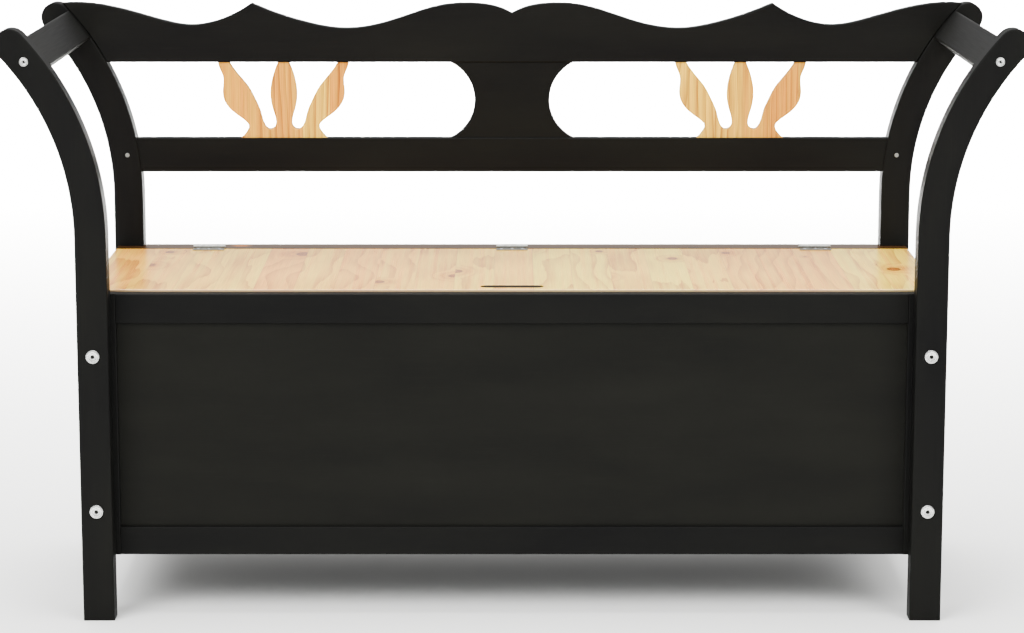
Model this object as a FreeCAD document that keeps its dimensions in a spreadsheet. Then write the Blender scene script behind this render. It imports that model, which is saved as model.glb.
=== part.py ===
"""Storage bench: a panelled box with a hinged seat lid, carried by four legs that sweep outwards
to hold the armrests and the backrest.

Frame: millimetres, +X to the right as one faces the bench's front, +Y to the rear, +Z up.
Origin: on the floor, at the middle of the bench.
"""
import FreeCAD, Part
import os
import re

Vector = FreeCAD.Vector

# ---------------------------------------------------------------------------------------------
# Driving sizes, in millimetres and degrees
# ---------------------------------------------------------------------------------------------
SIZES = {
    # overall and legs
    "overall_width": (1260, "across the tips of the legs"),
    "overall_depth": (420, "front face of the front legs to rear face of the rear legs"),
    "leg_width": (39, "leg seen from the front"),
    "leg_thickness": (30, "leg, front to rear"),
    "bend_height": (487, "floor to the start of the leg's arc"),
    "bend_radius": (349.5, "arc of the leg's centre line"),
    "bend_angle": (42.6, "sweep of the arc"),
    "edge_round": (2, "rounding of painted edges"),
    # armrests
    "armrest_width": (46.4, "sloping face of the armrest"),
    "armrest_thickness": (28, "armrest board"),
    "armrest_angle": (38.2, "place of the armrest along the leg's arc"),
    "armrest_round": (3, "rounding of the armrest's long edges"),
    # storage box
    "seat_height": (414, "floor to the top of the lid"),
    "box_bottom": (78, "floor to the underside of the box"),
    "frame_thickness": (18, "front and rear frames"),
    "side_thickness": (20, "side frames"),
    "stile_width": (36, "upright members of the frames"),
    "top_rail_width": (37.5, "front top rail"),
    "bottom_rail_width": (36, "bottom rails"),
    "rail_step": (2.5, "front top rail below the top of the lid"),
    "tenon_length": (18, "rail tenons of the box frames"),
    "tenon_thickness": (7, "rail tenons of the box frames"),
    "tenon_shoulder": (5, "rail edge to the tenon's edge"),
    "panel_thickness": (7, "panels, and the grooves that hold them"),
    "groove_depth": (8, "panel grooves"),
    "panel_gap": (1, "panel's edge to the groove's floor"),
    "bottom_thickness": (9, "bottom panel"),
    "bottom_height": (22, "underside of the box to the underside of the bottom panel"),
    "bottom_gap": (1.5, "clearance round the bottom panel"),
    "cleat_size": (18, "square cleats under the bottom panel"),
    # lid
    "lid_thickness": (16, "lid and hinge rail"),
    "lid_gap": (2, "clearance in front of the lid and behind it"),
    "lid_overhang": (6, "lid's ends past the side frames"),
    "lid_round": (2.5, "rounding of the lid's top edges"),
    "slot_length": (79, "finger slot, end to end"),
    "slot_width": (20, "finger slot"),
    "slot_setback": (13, "front edge of the lid to the slot"),
    "slot_round": (1.2, "rounding of the slot's rims"),
    "batten_length": (230, "batten under the lid"),
    "batten_width": (40, "batten under the lid"),
    "batten_thickness": (14, "batten under the lid"),
    "batten_place": (330, "middle of the lid to a batten"),
    # hinges
    "hinge_setback": (21, "hinge line to the front faces of the rear legs"),
    "hinge_place": (408, "middle hinge to an outer hinge"),
    "hinge_length": (42, "length of a hinge"),
    "leaf_reach": (17, "hinge line to the edge of a leaf"),
    "leaf_thickness": (1.2, "hinge leaf"),
    "leaf_setback": (3.2, "hinge line to a leaf's near edge"),
    "knuckle_radius": (2.6, "hinge knuckle"),
    "knuckle_gap": (0.3, "clearance between knuckles"),
    "pin_radius": (1.25, "hinge pin"),
    "pin_clearance": (0.05, "round the hinge pin"),
    "hinge_rail_overhang": (18, "hinge rail behind the front faces of the rear legs"),
    "leg_notch_gap": (0.5, "hinge rail's tongue to the legs"),
    # backrest
    "back_thickness": (18, "crest board and lower rail"),
    "back_setback": (2, "backrest behind the front faces of the rear legs"),
    "crest_rise": (18.9, "centre of a leg's tip to the crest board's highest peak"),
    "lower_rail_width": (46, "lower rail"),
    "opening_height": (102, "lower rail to crest board"),
    "crest_height": (79.5, "crest board, from its lower edge to its highest peak"),
    "crest_round": (1.6, "rounding of the crest board's edges"),
    "back_tenon_length": (27, "lower rail's tenon in a leg"),
    "back_tenon_thickness": (9, "lower rail's tenon"),
    "splat_end_width": (165, "centre splat at its ends"),
    "splat_waist": (100.7, "centre splat at its waist"),
    "splat_thickness": (14, "centre splat"),
    "tulip_thickness": (12, "tulip splats"),
    "tulip_share": (0.6155, "tulip's place between the middle and a leg's inner face"),
    # fasteners
    "bolt_low": (141, "floor to the lower leg bolts"),
    "bolt_high": (338, "floor to the upper leg bolts"),
    "bolt_radius": (3, "leg bolt's shank"),
    "bolt_reach": (26, "leg bolt past the box's frame"),
    "bolt_head_radius": (8.5, "leg bolt's flat head"),
    "bolt_head_height": (2.4, "leg bolt's flat head"),
    "nut_radius": (5, "barrel nut"),
    "nut_length": (15, "barrel nut"),
    "nut_place": (18, "face of the box's frame to the barrel nut"),
    "arm_screw_radius": (2.5, "armrest screw's shank"),
    "arm_screw_length": (70, "armrest screw's shank"),
    "arm_head_radius": (5.6, "armrest screw's head"),
    "arm_head_height": (1.8, "armrest screw's head"),
    "rail_screw_radius": (1.5, "screw through a rear leg and the lower rail's tenon"),
    "rail_screw_length": (24, "screw through a rear leg and the lower rail's tenon"),
    "rail_screw_head": (2.8, "its head's radius"),
    "small_head_height": (0.8, "small screw heads above their surface"),
    "hinge_screw_radius": (1.2, "hinge screw's shank"),
    "hinge_screw_head": (2.4, "hinge screw's head"),
    "hinge_screw_length": (11, "hinge screw's shank"),
    "wood_screw_radius": (1.75, "batten and cleat screws"),
    "wood_screw_head": (3.4, "batten and cleat screws, head"),
    "wood_screw_bite": (10, "batten and cleat screws beyond the piece they hold"),
    "dowel_radius": (4, "dowels of the box and the crest board"),
    "dowel_half": (14, "half the length of those dowels"),
    "corner_dowel_gap": (35, "leg bolt to the nearest dowel of the box's corner"),
    "crest_dowel_low": (20, "crest board's lower edge to its lower dowels"),
    "crest_dowel_high": (55, "crest board's lower edge to its upper dowels"),
    "small_dowel_radius": (2.5, "dowels of the splats"),
    "small_dowel_half": (9, "half the length of those dowels"),
}

# Places that follow from the driving sizes; a later one may use an earlier one.
PLACES = {
    "leg_center": "overall_width / 2 - leg_width / 2 - bend_radius * (1 - cos(bend_angle))",
    "leg_inner": "leg_center - leg_width / 2",
    "leg_outer": "leg_center + leg_width / 2",
    "bend_center": "leg_center + bend_radius",
    "inner_radius": "bend_radius + leg_width / 2",
    "outer_radius": "bend_radius - leg_width / 2",
    "leg_face": "overall_depth / 2",
    "box_face": "overall_depth / 2 - leg_thickness",
    "frame_inside": "box_face - frame_thickness",
    "box_end": "leg_center + side_thickness / 2",
    "side_inside": "leg_center - side_thickness / 2",
    "opening_half": "box_end - stile_width",
    "lid_bottom": "seat_height - lid_thickness",
    "front_top": "seat_height - rail_step",
    "bottom_rail_top": "box_bottom + bottom_rail_width",
    "front_rail_low": "front_top - top_rail_width",
    "box_rail_low": "lid_bottom - top_rail_width",
    "side_opening_half": "frame_inside - stile_width",
    "floor_low": "box_bottom + bottom_height",
    "floor_top": "floor_low + bottom_thickness",
    "hinge_y": "box_face - hinge_setback",
    "hinge_z": "seat_height + knuckle_radius",
    "lid_front": "-frame_inside + lid_gap",
    "lid_rear": "hinge_y - lid_gap / 2",
    "lid_middle": "(lid_front + lid_rear) / 2",
    "lid_half": "box_end + lid_overhang",
    "hinge_rail_front": "hinge_y + lid_gap / 2",
    "hinge_rail_rear": "box_face + hinge_rail_overhang",
    "slot_y": "lid_front + slot_setback + slot_width / 2",
    "knuckle_length": "(hinge_length - 4 * knuckle_gap) / 5",
    "back_front": "box_face + back_setback",
    "back_middle": "back_front + back_thickness / 2",
    "crest_top": "bend_height + bend_radius * sin(bend_angle) + crest_rise",
    "crest_low": "crest_top - crest_height",
    "lower_rail_top": "crest_low - opening_height",
    "lower_rail_low": "lower_rail_top - lower_rail_width",
    "tulip_x": "tulip_share * leg_inner",
    "arm_half": "box_face",
    "arm_x": "bend_center - bend_radius * cos(armrest_angle)",
    "arm_z": "bend_height + bend_radius * sin(armrest_angle)",
    "nut_y": "frame_inside - nut_place",
    "bolt_length": "leg_thickness + frame_thickness + bolt_reach",
}

doc = FreeCAD.newDocument("storage_bench")


def write_sizes():
    """Put the driving sizes in a sheet and the places that follow from them in a variable set."""
    sheet = doc.addObject("Spreadsheet::Sheet", "sizes")
    for row, (alias, (value, note)) in enumerate(SIZES.items(), start=1):
        sheet.set(f"A{row}", note)
        sheet.set(f"B{row}", str(value))
        sheet.setAlias(f"B{row}", alias)
    doc.recompute()
    places = doc.addObject("App::VarSet", "places")
    for place, formula in PLACES.items():
        places.addProperty("App::PropertyFloat", place)
        places.setExpression(place, ex(formula))
    doc.recompute()
    return sheet, places


def ex(formula):
    """Turn a formula in plain words into an expression on the sheet and the variable set."""
    def full_name(match):
        word = match.group(0)
        if word in SIZES:
            return "sizes." + word
        if word in PLACES:
            return "places." + word
        return word
    return re.sub(r"[a-z][a-z_]*", full_name, str(formula))


def size(alias):
    return float(sheet.get(alias))


def bind(feature, **formulas):
    """Bind properties of a feature to formulas; x, y and z stand for its position."""
    for name, formula in formulas.items():
        path = f"Placement.Base.{name}" if name in ("x", "y", "z") else name
        feature.setExpression(path, ex(formula))


# ---------------------------------------------------------------------------------------------
# Building blocks
# ---------------------------------------------------------------------------------------------
AXES = {"x": Vector(1, 0, 0), "y": Vector(0, 1, 0), "z": Vector(0, 0, 1)}


def new_body(label):
    body = doc.addObject("PartDesign::Body", label)
    body.Label = label
    return body


def block(body, action, x, y, z):
    """Add or take away a block; x, y and z are each its low and high side as two formulas."""
    feature = body.newObject(f"PartDesign::{action}Box", f"{body.Name}_block")
    bind(feature, Length=f"({x[1]}) - ({x[0]})", Width=f"({y[1]}) - ({y[0]})", Height=f"({z[1]}) - ({z[0]})")
    bind(feature, x=x[0], y=y[0], z=z[0])
    return feature


def rod(body, action, axis, start, radius, length):
    """Add or take away a cylinder that runs from start, three formulas, along an axis."""
    feature = body.newObject(f"PartDesign::{action}Cylinder", f"{body.Name}_rod")
    turn = FreeCAD.Rotation(AXES["z"], AXES[axis])
    feature.Placement = FreeCAD.Placement(Vector(), turn)
    bind(feature, Radius=radius, Height=length, x=start[0], y=start[1], z=start[2])
    return feature


def soften(body, radius, choose):
    """Round the edges of the body's last feature that choose picks."""
    doc.recompute()
    base = body.Tip
    edges = [f"Edge{i}" for i, edge in enumerate(base.Shape.Edges, start=1) if choose(edge)]
    fillet = body.newObject("PartDesign::Fillet", f"{body.Name}_soft")
    fillet.Base = (base, edges)
    bind(fillet, Radius=radius)
    doc.recompute()


def along(axis):
    """A picker of the straight edges that run along an axis."""
    def choose(edge):
        start = edge.Vertexes[0].Point
        end = edge.Vertexes[-1].Point
        run = end - start
        return edge.Length > 0 and abs(abs(run.dot(AXES[axis])) - edge.Length) < 1e-6
    return choose


def board(label, x, y, z, run):
    """A sawn board whose four edges along its run are rounded over."""
    body = new_body(label)
    block(body, "Additive", x, y, z)
    soften(body, "edge_round", along(run))
    return body


def outline_plate(label, edges, thickness, middle):
    """A plate cut to an outline in the XZ plane; middle is the place of its mid-plane along Y."""
    body = new_body(label)
    sketch = body.newObject("Sketcher::SketchObject", f"{label}_outline")
    plane = [item for item in body.Origin.OriginFeatures if item.Role == "XZ_Plane"][0]
    sketch.AttachmentSupport = [(plane, "")]
    sketch.MapMode = "FlatFace"
    sketch.addGeometry(edges, False)
    doc.recompute()
    pad = body.newObject("PartDesign::Pad", f"{label}_pad")
    pad.Profile = sketch
    pad.SideType = "Symmetric"
    bind(pad, Length=thickness)
    bind(body, y=middle)
    doc.recompute()
    return body


def line(start, end):
    return Part.LineSegment(Vector(*start, 0), Vector(*end, 0))


def arc(start, middle, end):
    return Part.Arc(Vector(*start, 0), Vector(*middle, 0), Vector(*end, 0))


def curve(*points):
    """A smooth curve through a few points."""
    spline = Part.BSplineCurve()
    spline.interpolate([Vector(*point, 0) for point in points])
    return spline


def around(x, z, radius, degrees):
    """The point at an angle above the horizontal, on the bench's inner side of a centre."""
    turned = FreeCAD.Rotation(AXES["z"], -degrees).multVec(Vector(-radius, 0, 0))
    return (x + turned.x, z + turned.y)


def mirrored(side, low, high):
    """Two formulas across X, mirrored for the left side (-1)."""
    return (low, high) if side > 0 else (f"-({high})", f"-({low})")


def signed(side, formula):
    return formula if side > 0 else f"-({formula})"


# A side's sign is its direction along X, an end's is its direction along Y
SIDES = (("left", -1), ("right", 1))
ENDS = (("front", -1), ("rear", 1))


# ---------------------------------------------------------------------------------------------
# Legs and armrests
# ---------------------------------------------------------------------------------------------
def leg_profile(side):
    """Straight foot and post, arc, and round tip."""
    x, z = places.bend_center, size("bend_height")
    sweep = size("bend_angle")
    inner, outer = places.inner_radius, places.outer_radius
    tip_x, tip_z = around(x, z, size("bend_radius"), sweep)
    lead = FreeCAD.Rotation(AXES["z"], -sweep).multVec(Vector(0, size("leg_width") / 2, 0))
    points = {
        "inner_foot": (places.leg_inner, 0),
        "inner_bend": (places.leg_inner, z),
        "inner_mid": around(x, z, inner, sweep / 2),
        "inner_end": around(x, z, inner, sweep),
        "tip": (tip_x + lead.x, tip_z + lead.y),
        "outer_end": around(x, z, outer, sweep),
        "outer_mid": around(x, z, outer, sweep / 2),
        "outer_bend": (places.leg_outer, z),
        "outer_foot": (places.leg_outer, 0),
    }
    p = {name: (side * point[0], point[1]) for name, point in points.items()}
    return [
        line(p["inner_foot"], p["inner_bend"]),
        arc(p["inner_bend"], p["inner_mid"], p["inner_end"]),
        arc(p["inner_end"], p["tip"], p["outer_end"]),
        arc(p["outer_end"], p["outer_mid"], p["outer_bend"]),
        line(p["outer_bend"], p["outer_foot"]),
        line(p["outer_foot"], p["inner_foot"]),
    ]


def in_faces(edge):
    """Edges that lie in the front or rear face of a plate made about its own mid-plane."""
    box = edge.BoundBox
    return box.YLength < 1e-6 and abs(box.YMin) > 1


def leg(end_name, end, side_name, side):
    middle = signed(end, "leg_face - leg_thickness / 2")
    body = outline_plate(f"{end_name}_leg_{side_name}", leg_profile(side), "leg_thickness", middle)
    soften(body, "edge_round", in_faces)
    across = ("-leg_thickness / 2", "leg_thickness")
    for height in ("bolt_low", "bolt_high"):
        rod(body, "Subtractive", "y", (signed(side, "leg_center"), across[0], height), "bolt_radius",
            across[1])
    rod(body, "Subtractive", "y", (signed(side, "arm_x"), across[0], "arm_z"), "arm_screw_radius",
        across[1])
    if end > 0:
        rear_leg_joints(body, side)
    return body


CREST_DOWELS = ("crest_low + crest_dowel_low", "crest_low + crest_dowel_high")


def rear_leg_joints(body, side):
    """Mortise for the lower rail, its screw hole, and sockets for the crest board's dowels."""
    depth = "back_middle - (leg_face - leg_thickness / 2)"
    x = mirrored(side, "leg_inner - 1", "leg_inner + back_tenon_length")
    y = (f"{depth} - back_tenon_thickness / 2", f"{depth} + back_tenon_thickness / 2")
    z = ("lower_rail_low + tenon_shoulder", "lower_rail_top - tenon_shoulder")
    block(body, "Subtractive", x, y, z)
    screw_z = "lower_rail_low + lower_rail_width / 2"
    rod(body, "Subtractive", "y", (signed(side, "leg_center"), "-leg_thickness / 2", screw_z),
        "rail_screw_radius", "rail_screw_length")
    for height in CREST_DOWELS:
        rod(body, "Subtractive", "x", crest_dowel_start(side, height, depth), "dowel_radius",
            "2 * dowel_half")


def crest_dowel_start(side, height, depth):
    """Low end of a dowel that lies half in the crest board and half in the leg's arc."""
    contact = f"bend_center - sqrt(inner_radius^2 - ({height} - bend_height)^2)"
    return (f"{signed(side, contact)} - dowel_half", depth, height)


def armrest(side_name, side):
    """A board that lies in the legs' arcs with its wide face flush with their inner edges."""
    x, z = places.bend_center, size("bend_height")
    half_width = size("armrest_width") / 2
    face = (places.inner_radius ** 2 - half_width ** 2) ** 0.5
    turn = FreeCAD.Rotation(AXES["z"], -size("armrest_angle"))
    corners = []
    for radius, shift in ((face, -1), (face, 1), (face - size("armrest_thickness"), 1),
                          (face - size("armrest_thickness"), -1)):
        corner = turn.multVec(Vector(-radius, shift * half_width, 0))
        corners.append((side * (x + corner.x), z + corner.y))
    edges = [line(corners[i], corners[(i + 1) % 4]) for i in range(4)]
    body = outline_plate(f"armrest_{side_name}", edges, "2 * arm_half", "0")
    soften(body, "armrest_round", along("y"))
    for start in ("-arm_half", "arm_half - arm_screw_length + leg_thickness"):
        rod(body, "Subtractive", "y", (signed(side, "arm_x"), start, "arm_z"), "arm_screw_radius",
            "arm_screw_length - leg_thickness")
    return body


# ---------------------------------------------------------------------------------------------
# Storage box
# ---------------------------------------------------------------------------------------------
def tenon_heights(name, low, high):
    """A rail's tenon: it keeps clear of the panel groove and of the rail's other edge."""
    if name == "top":
        return (f"{low} + groove_depth", f"{high} - tenon_shoulder")
    return (f"{low} + tenon_shoulder", f"{high} - groove_depth")


CORNER_DOWELS = ("bolt_low + corner_dowel_gap", "bolt_high - corner_dowel_gap")


def long_frame(end_name, end):
    """Front or rear frame: two stiles, two rails tenoned into them, and a panel in their grooves."""
    top = "front_top" if end < 0 else "lid_bottom"
    rail_low = "front_rail_low" if end < 0 else "box_rail_low"
    y = ("-box_face", "-frame_inside") if end < 0 else ("frame_inside", "box_face")
    middle = f"({y[0]} + frame_thickness / 2)"
    slit = (f"{middle} - panel_thickness / 2", f"{middle} + panel_thickness / 2")
    tongue = (f"{middle} - tenon_thickness / 2", f"{middle} + tenon_thickness / 2")
    rails = (("top", rail_low, top), ("bottom", "box_bottom", "bottom_rail_top"))
    for name, low, high in rails:
        rail = board(f"{end_name}_{name}_rail", ("-opening_half", "opening_half"), y, (low, high), "x")
        tenon_z = tenon_heights(name, low, high)
        reach = "opening_half + tenon_length"
        block(rail, "Additive", (f"-({reach})", "-opening_half"), tongue, tenon_z)
        block(rail, "Additive", ("opening_half", reach), tongue, tenon_z)
        groove = (low, f"{low} + groove_depth") if name == "top" else (f"{high} - groove_depth", high)
        block(rail, "Subtractive", ("-opening_half", "opening_half"), slit, groove)
    for side_name, side in SIDES:
        x = mirrored(side, "opening_half", "box_end")
        stile = board(f"{end_name}_stile_{side_name}", x, y, ("box_bottom", top), "z")
        for name, low, high in rails:
            block(stile, "Subtractive", mirrored(side, "opening_half", "opening_half + tenon_length"), tongue,
                  tenon_heights(name, low, high))
        block(stile, "Subtractive", mirrored(side, "opening_half", "opening_half + groove_depth"), slit,
              ("bottom_rail_top - groove_depth", f"{rail_low} + groove_depth"))
        bolt_y = "-box_face" if end < 0 else "frame_inside"
        for height in ("bolt_low", "bolt_high"):
            rod(stile, "Subtractive", "y", (signed(side, "leg_center"), bolt_y, height), "bolt_radius",
                "frame_thickness")
        dowel_y = "-frame_inside - dowel_half" if end < 0 else "frame_inside"
        for height in CORNER_DOWELS:
            rod(stile, "Subtractive", "y", (signed(side, "leg_center"), dowel_y, height), "dowel_radius",
                "dowel_half")
    reach = "groove_depth - panel_gap"
    panel = new_body(f"{end_name}_panel")
    block(panel, "Additive", (f"-opening_half - ({reach})", f"opening_half + {reach}"), slit,
          (f"bottom_rail_top - ({reach})", f"{rail_low} + {reach}"))


def side_frame(side_name, side):
    """The box's end: the same five pieces as a long frame, between the front and rear frames."""
    x = mirrored(side, "side_inside", "box_end")
    middle = signed(side, "leg_center")
    slit = (f"{middle} - panel_thickness / 2", f"{middle} + panel_thickness / 2")
    tongue = (f"{middle} - tenon_thickness / 2", f"{middle} + tenon_thickness / 2")
    rails = (("top", "box_rail_low", "lid_bottom"), ("bottom", "box_bottom", "bottom_rail_top"))
    for name, low, high in rails:
        rail = board(f"side_{name}_rail_{side_name}", x, ("-side_opening_half", "side_opening_half"),
                     (low, high), "y")
        tenon_z = tenon_heights(name, low, high)
        reach = "side_opening_half + tenon_length"
        block(rail, "Additive", tongue, (f"-({reach})", "-side_opening_half"), tenon_z)
        block(rail, "Additive", tongue, ("side_opening_half", reach), tenon_z)
        groove = (low, f"{low} + groove_depth") if name == "top" else (f"{high} - groove_depth", high)
        block(rail, "Subtractive", slit, ("-side_opening_half", "side_opening_half"), groove)
    for end_name, end in ENDS:
        y = mirrored(end, "side_opening_half", "frame_inside")
        stile = board(f"side_{end_name}_stile_{side_name}", x, y, ("box_bottom", "lid_bottom"), "z")
        for name, low, high in rails:
            block(stile, "Subtractive", tongue,
                  mirrored(end, "side_opening_half", "side_opening_half + tenon_length"),
                  tenon_heights(name, low, high))
        block(stile, "Subtractive", slit,
              mirrored(end, "side_opening_half", "side_opening_half + groove_depth"),
              ("bottom_rail_top - groove_depth", "box_rail_low + groove_depth"))
        bolt_y = "-frame_inside" if end < 0 else "frame_inside - bolt_reach"
        for height in ("bolt_low", "bolt_high"):
            rod(stile, "Subtractive", "y", (middle, bolt_y, height), "bolt_radius", "bolt_reach")
            nut_x = "side_inside" if side > 0 else "-side_inside - nut_length"
            rod(stile, "Subtractive", "x", (nut_x, signed(end, "nut_y"), height), "nut_radius", "nut_length")
        dowel_y = "-frame_inside" if end < 0 else "frame_inside - dowel_half"
        for height in CORNER_DOWELS:
            rod(stile, "Subtractive", "y", (middle, dowel_y, height), "dowel_radius", "dowel_half")
    reach = "groove_depth - panel_gap"
    panel = new_body(f"side_panel_{side_name}")
    block(panel, "Additive", slit, (f"-side_opening_half - ({reach})", f"side_opening_half + {reach}"),
          (f"bottom_rail_top - ({reach})", f"box_rail_low + {reach}"))


def box_floor():
    """Bottom panel, resting on four cleats inside the frames."""
    panel = new_body("bottom_panel")
    block(panel, "Additive", ("-side_inside + bottom_gap", "side_inside - bottom_gap"),
          ("-frame_inside + bottom_gap", "frame_inside - bottom_gap"), ("floor_low", "floor_top"))
    z = ("floor_low - cleat_size", "floor_low")
    run = ("-side_inside + cleat_size", "side_inside - cleat_size")
    for end_name, end in ENDS:
        cleat = new_body(f"cleat_{end_name}")
        block(cleat, "Additive", run, mirrored(end, "frame_inside - cleat_size", "frame_inside"), z)
    for side_name, side in SIDES:
        cleat = new_body(f"cleat_{side_name}")
        block(cleat, "Additive", mirrored(side, "side_inside - cleat_size", "side_inside"),
              ("-frame_inside", "frame_inside"), z)


RAIL_DOWELS = ("-hinge_place / 2", "hinge_place / 2")
RAIL_DOWEL_Y = "frame_inside + frame_thickness / 2"


def hinge_rail():
    """Fixed strip behind the lid, with a tongue that fills the space between the rear legs."""
    z = ("lid_bottom", "seat_height")
    rail = new_body("hinge_rail")
    block(rail, "Additive", ("-lid_half", "lid_half"), ("hinge_rail_front", "box_face"), z)
    block(rail, "Additive", ("-leg_inner + leg_notch_gap", "leg_inner - leg_notch_gap"),
          ("box_face", "hinge_rail_rear"), z)

    def rims(edge):
        box = edge.BoundBox
        in_top = abs(box.ZMin - size("seat_height")) < 1e-6 and box.ZLength < 1e-6
        outside = box.YMin > places.hinge_rail_rear - 1e-6 or box.YMax < places.hinge_rail_front + 1e-6
        end = abs(box.XMin) > places.lid_half - 1e-6 and box.XLength < 1e-6
        return in_top and (outside or end)
    soften(rail, "edge_round", rims)
    for x in RAIL_DOWELS:
        rod(rail, "Subtractive", "z", (x, RAIL_DOWEL_Y, "lid_bottom"), "small_dowel_radius",
            "small_dowel_half")


# ---------------------------------------------------------------------------------------------
# Lid
# ---------------------------------------------------------------------------------------------
def seat_lid():
    lid = new_body("seat_lid")
    through = ("lid_bottom", "seat_height")
    block(lid, "Additive", ("-lid_half", "lid_half"), ("lid_front", "lid_rear"), through)
    straight = "(slot_length - slot_width) / 2"
    block(lid, "Subtractive", (f"-{straight}", straight),
          ("slot_y - slot_width / 2", "slot_y + slot_width / 2"), through)
    for side in (-1, 1):
        rod(lid, "Subtractive", "z", (signed(side, straight), "slot_y", "lid_bottom"), "slot_width / 2",
            "lid_thickness")
    slot_reach = size("slot_length") / 2 + 1

    def is_level(edge):
        return edge.BoundBox.ZLength < 1e-6

    def slot_rims(edge):
        box = edge.BoundBox
        return is_level(edge) and max(abs(box.XMin), abs(box.XMax)) < slot_reach

    def top_rims(edge):
        in_top = is_level(edge) and abs(edge.BoundBox.ZMin - size("seat_height")) < 1e-6
        return in_top and edge.Length > 4 * slot_reach
    soften(lid, "slot_round", slot_rims)
    soften(lid, "lid_round", top_rims)
    return lid


def battens():
    for side_name, side in SIDES:
        x = mirrored(side, "batten_place - batten_width / 2", "batten_place + batten_width / 2")
        y = ("lid_middle - batten_length / 2", "lid_middle + batten_length / 2")
        board(f"lid_batten_{side_name}", x, y, ("lid_bottom - batten_thickness", "lid_bottom"), "y")


def hinges():
    """Three surface hinges: a fixed leaf with three knuckles, a lid leaf with two, and a pin each."""
    step = size("hinge_place")
    pitch = places.knuckle_length + size("knuckle_gap")
    first = -size("hinge_length") / 2
    bore = size("pin_radius") + size("pin_clearance")

    def leaf(direction, knuckles):
        top = size("seat_height")
        near, far = size("leaf_setback"), size("leaf_reach")
        low_y = near if direction > 0 else -far
        plate = Part.makeBox(size("hinge_length"), far - near, size("leaf_thickness"),
                             Vector(first, places.hinge_y + low_y, top))
        shape = plate.makeFillet(1, [edge for edge in plate.Edges if along("z")(edge)])
        for index in knuckles:
            start = first + index * pitch
            tongue_y = 0 if direction > 0 else -near
            tongue = Part.makeBox(places.knuckle_length, near, size("leaf_thickness"),
                                  Vector(start, places.hinge_y + tongue_y, top))
            barrel = Part.makeCylinder(size("knuckle_radius"), places.knuckle_length,
                                       Vector(start, places.hinge_y, places.hinge_z), AXES["x"])
            shape = shape.fuse([tongue, barrel])
        hole = Part.makeCylinder(bore, size("hinge_length"), Vector(first, places.hinge_y, places.hinge_z),
                                 AXES["x"])
        holes = [hole]
        for spot in (-1, 0, 1):
            middle = (near + far) / 2
            place = Vector(spot * size("hinge_length") / 3, places.hinge_y + direction * middle, top)
            holes.append(Part.makeCylinder(size("hinge_screw_radius"), size("leaf_thickness"), place))
        return shape.cut(holes).removeSplitter()

    pin = Part.makeCylinder(size("pin_radius"), size("hinge_length"),
                            Vector(first, places.hinge_y, places.hinge_z), AXES["x"])
    for label, shape in (("hinge_leaves_fixed", leaf(1, (0, 2, 4))), ("hinge_leaves_lid", leaf(-1, (1, 3))),
                         ("hinge_pins", pin)):
        feature = doc.addObject("Part::Feature", label)
        feature.Label = label
        feature.Shape = Part.makeCompound([shape.translated(Vector(x, 0, 0)) for x in (-step, 0, step)])


# ---------------------------------------------------------------------------------------------
# Backrest
# ---------------------------------------------------------------------------------------------
def at_leg(side, z):
    """The point of a leg's inner edge at a height, where a backrest board ends."""
    rise = max(z - size("bend_height"), 0)
    return (side * (places.bend_center - (places.inner_radius ** 2 - rise ** 2) ** 0.5), z)


def coped_end(side, low, high):
    """A board's end, cut to the leg's inner edge: straight below the bend and an arc above it."""
    bend = size("bend_height")
    edges = []
    if low < bend:
        edges.append(line(at_leg(side, low), at_leg(side, min(bend, high))))
    if high > bend:
        start = max(low, bend)
        edges.append(arc(at_leg(side, start), at_leg(side, (start + high) / 2), at_leg(side, high)))
    return edges


# Dowels of the splats, across from each splat's own middle
SPLAT_DOWELS = ("-splat_waist / 2", "splat_waist / 2")
TULIP_FOOT_DOWELS = (-30, 30)
TULIP_TIP_DOWELS = (-81, 0, 81)


def back_dowels():
    """Each dowel of the splats: its place across, and the height of the joint it bridges."""
    dowels = [(x, z) for x in SPLAT_DOWELS for z in ("lower_rail_top", "crest_low")]
    for side in (-1, 1):
        middle = signed(side, "tulip_x")
        dowels += [(f"{middle} + {shift}", "lower_rail_top") for shift in TULIP_FOOT_DOWELS]
        dowels += [(f"{middle} + {shift}", "crest_low") for shift in TULIP_TIP_DOWELS]
    return dowels


def lower_rail():
    """Rail coped to the rear legs, with a tenon and a screw in each."""
    low, high = places.lower_rail_low, places.lower_rail_top
    edges = [line(at_leg(-1, low), at_leg(1, low)), line(at_leg(-1, high), at_leg(1, high))]
    edges += coped_end(-1, low, high) + coped_end(1, low, high)
    rail = outline_plate("back_lower_rail", edges, "back_thickness", "back_middle")
    soften(rail, "crest_round", along("x"))
    tongue = ("-back_tenon_thickness / 2", "back_tenon_thickness / 2")
    tenon_z = ("lower_rail_low + tenon_shoulder", "lower_rail_top - tenon_shoulder")
    screw_z = "lower_rail_low + lower_rail_width / 2"
    for side in (-1, 1):
        block(rail, "Additive", mirrored(side, "leg_inner", "leg_inner + back_tenon_length"), tongue, tenon_z)
        rod(rail, "Subtractive", "y", (signed(side, "leg_center"), "box_face - back_middle", screw_z),
            "rail_screw_radius", "rail_screw_length")
    for x, z in back_dowels():
        if z == "lower_rail_top":
            rod(rail, "Subtractive", "z", (x, "0", "lower_rail_top - small_dowel_half"), "small_dowel_radius",
                "small_dowel_half")


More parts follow.
